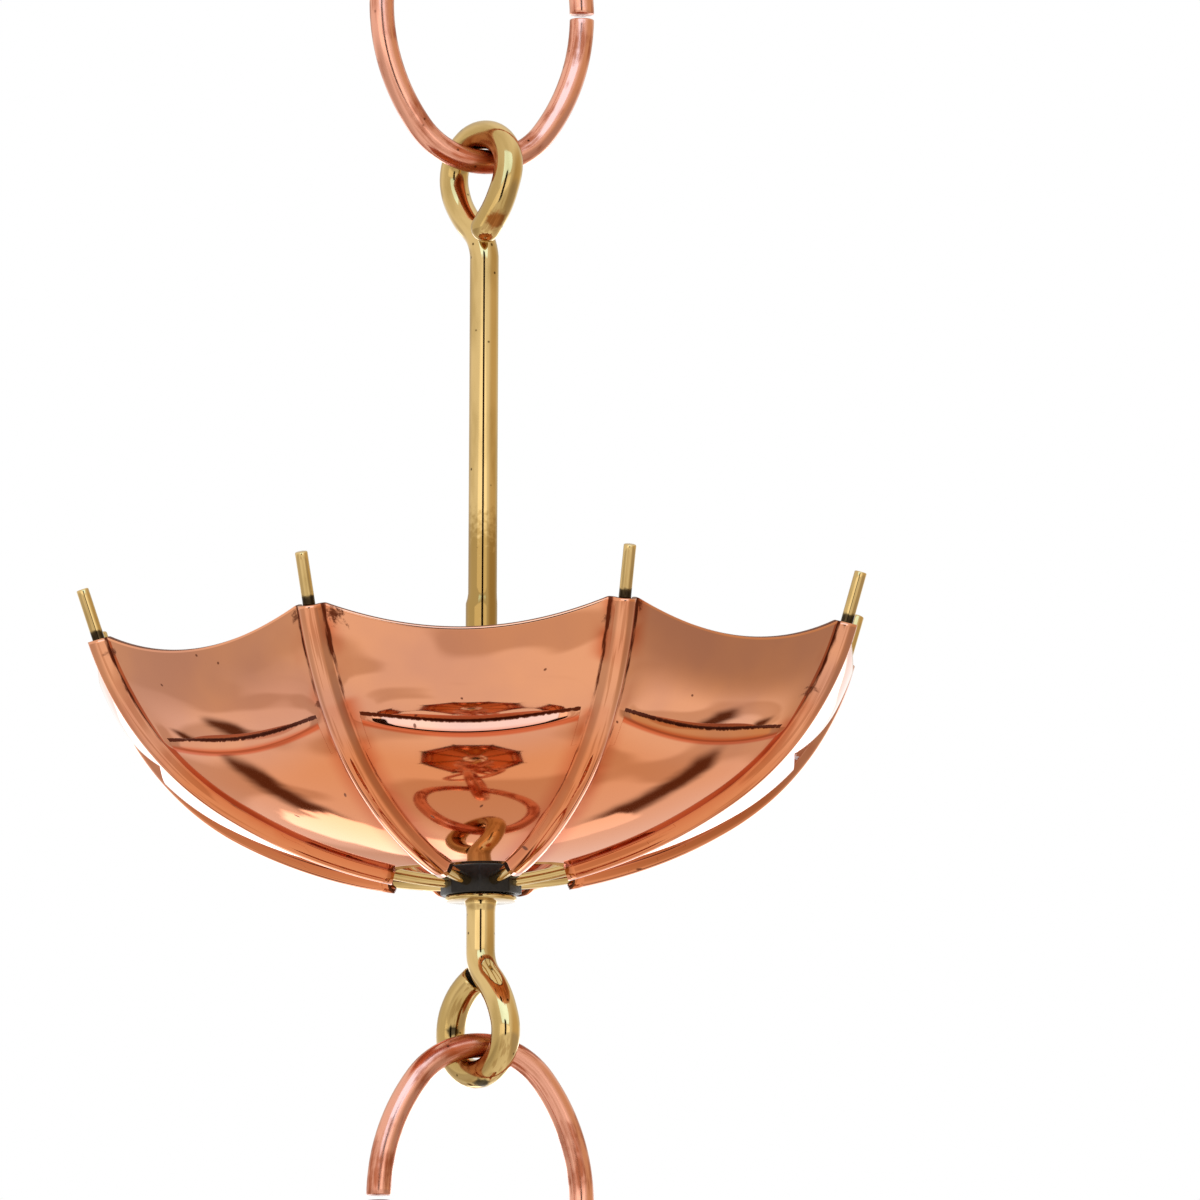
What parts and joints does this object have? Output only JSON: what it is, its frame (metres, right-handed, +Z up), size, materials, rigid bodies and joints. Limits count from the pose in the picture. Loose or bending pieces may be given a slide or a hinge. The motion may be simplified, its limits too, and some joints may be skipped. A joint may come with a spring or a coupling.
{
  "type": "rain chain",
  "caption": "Rain chain of upturned copper umbrellas on brass stems, joined by bent copper wire links.",
  "frame": {"origin": "inside of the top bend of the top link, where the chain hangs", "axes": "+Z up along the hanging chain, -Y towards the viewer, +X to the viewer's right"},
  "size_m": [0.1531, 0.152, 0.9698],
  "materials": {
    "link_copper": "satin",
    "canopy_copper": "polished",
    "brass": "satin",
    "blackened_steel": "satin"
  },
  "bodies": {
    "link_01": {"link_01": "link_copper"},
    "umbrella_1": {"umbrella_1_stem": "brass", "umbrella_1_canopy": "canopy_copper", "umbrella_1_hub": "blackened_steel", "umbrella_1_washer": "brass", "umbrella_1_rib_1": "brass", "umbrella_1_rib_2": "brass", "umbrella_1_rib_3": "brass", "umbrella_1_rib_4": "brass", "umbrella_1_rib_5": "brass", "umbrella_1_rib_6": "brass", "umbrella_1_rib_7": "brass", "umbrella_1_rib_8": "brass"},
    "link_02": {"link_02": "link_copper"},
    "link_03": {"link_03": "link_copper"},
    "link_04": {"link_04": "link_copper"},
    "link_05": {"link_05": "link_copper"},
    "link_06": {"link_06": "link_copper"},
    "link_07": {"link_07": "link_copper"},
    "umbrella_2": {"umbrella_2_stem": "brass", "umbrella_2_canopy": "canopy_copper", "umbrella_2_hub": "blackened_steel", "umbrella_2_washer": "brass", "umbrella_2_rib_1": "brass", "umbrella_2_rib_2": "brass", "umbrella_2_rib_3": "brass", "umbrella_2_rib_4": "brass", "umbrella_2_rib_5": "brass", "umbrella_2_rib_6": "brass", "umbrella_2_rib_7": "brass", "umbrella_2_rib_8": "brass"},
    "link_08": {"link_08": "link_copper"},
    "link_09": {"link_09": "link_copper"},
    "link_10": {"link_10": "link_copper"},
    "link_11": {"link_11": "link_copper"}
  },
  "joints": [
    {"name": "umbrella_1_swing", "type": "hinge", "parent": "link_01", "child": "umbrella_1", "pos_m": [0, 0, -0.0576], "axis": [0.9397, 0.342, 0], "range_deg": [-45, 45]},
    {"name": "link_02_swing", "type": "hinge", "parent": "umbrella_1", "child": "link_02", "pos_m": [0, 0, -0.236], "axis": [0.682, -0.7314, 0], "range_deg": [-30, 30]},
    {"name": "link_03_swing", "type": "hinge", "parent": "link_02", "child": "link_03", "pos_m": [0, 0, -0.2905], "axis": [-0.9397, -0.342, 0], "range_deg": [-45, 45]},
    {"name": "link_04_swing", "type": "hinge", "parent": "link_03", "child": "link_04", "pos_m": [0, 0, -0.3454], "axis": [0.2079, 0.9781, 0], "range_deg": [-45, 45]},
    {"name": "link_05_swing", "type": "hinge", "parent": "link_04", "child": "link_05", "pos_m": [0, 0, -0.4003], "axis": [0.8746, -0.4848, 0], "range_deg": [-45, 45]},
    {"name": "link_06_swing", "type": "hinge", "parent": "link_05", "child": "link_06", "pos_m": [0, 0, -0.4552], "axis": [0.7193, 0.6947, 0], "range_deg": [-45, 45]},
    {"name": "link_07_swing", "type": "hinge", "parent": "link_06", "child": "link_07", "pos_m": [0, 0, -0.5101], "axis": [0.7771, -0.6293, 0], "range_deg": [-45, 45]},
    {"name": "umbrella_2_swing", "type": "hinge", "parent": "link_07", "child": "umbrella_2", "pos_m": [0, 0, -0.565], "axis": [-0.9272, -0.3746, 0], "range_deg": [-45, 45]},
    {"name": "link_08_swing", "type": "hinge", "parent": "umbrella_2", "child": "link_08", "pos_m": [0, 0, -0.7434], "axis": [0.6157, -0.788, 0], "range_deg": [-30, 30]},
    {"name": "link_09_swing", "type": "hinge", "parent": "link_08", "child": "link_09", "pos_m": [0, 0, -0.7979], "axis": [0.866, 0.5, 0], "range_deg": [-45, 45]},
    {"name": "link_10_swing", "type": "hinge", "parent": "link_09", "child": "link_10", "pos_m": [0, 0, -0.8528], "axis": [-0.6293, 0.7771, 0], "range_deg": [-45, 45]},
    {"name": "link_11_swing", "type": "hinge", "parent": "link_10", "child": "link_11", "pos_m": [0, 0, -0.9077], "axis": [0.8572, 0.515, 0], "range_deg": [-45, 45]}
  ]
}
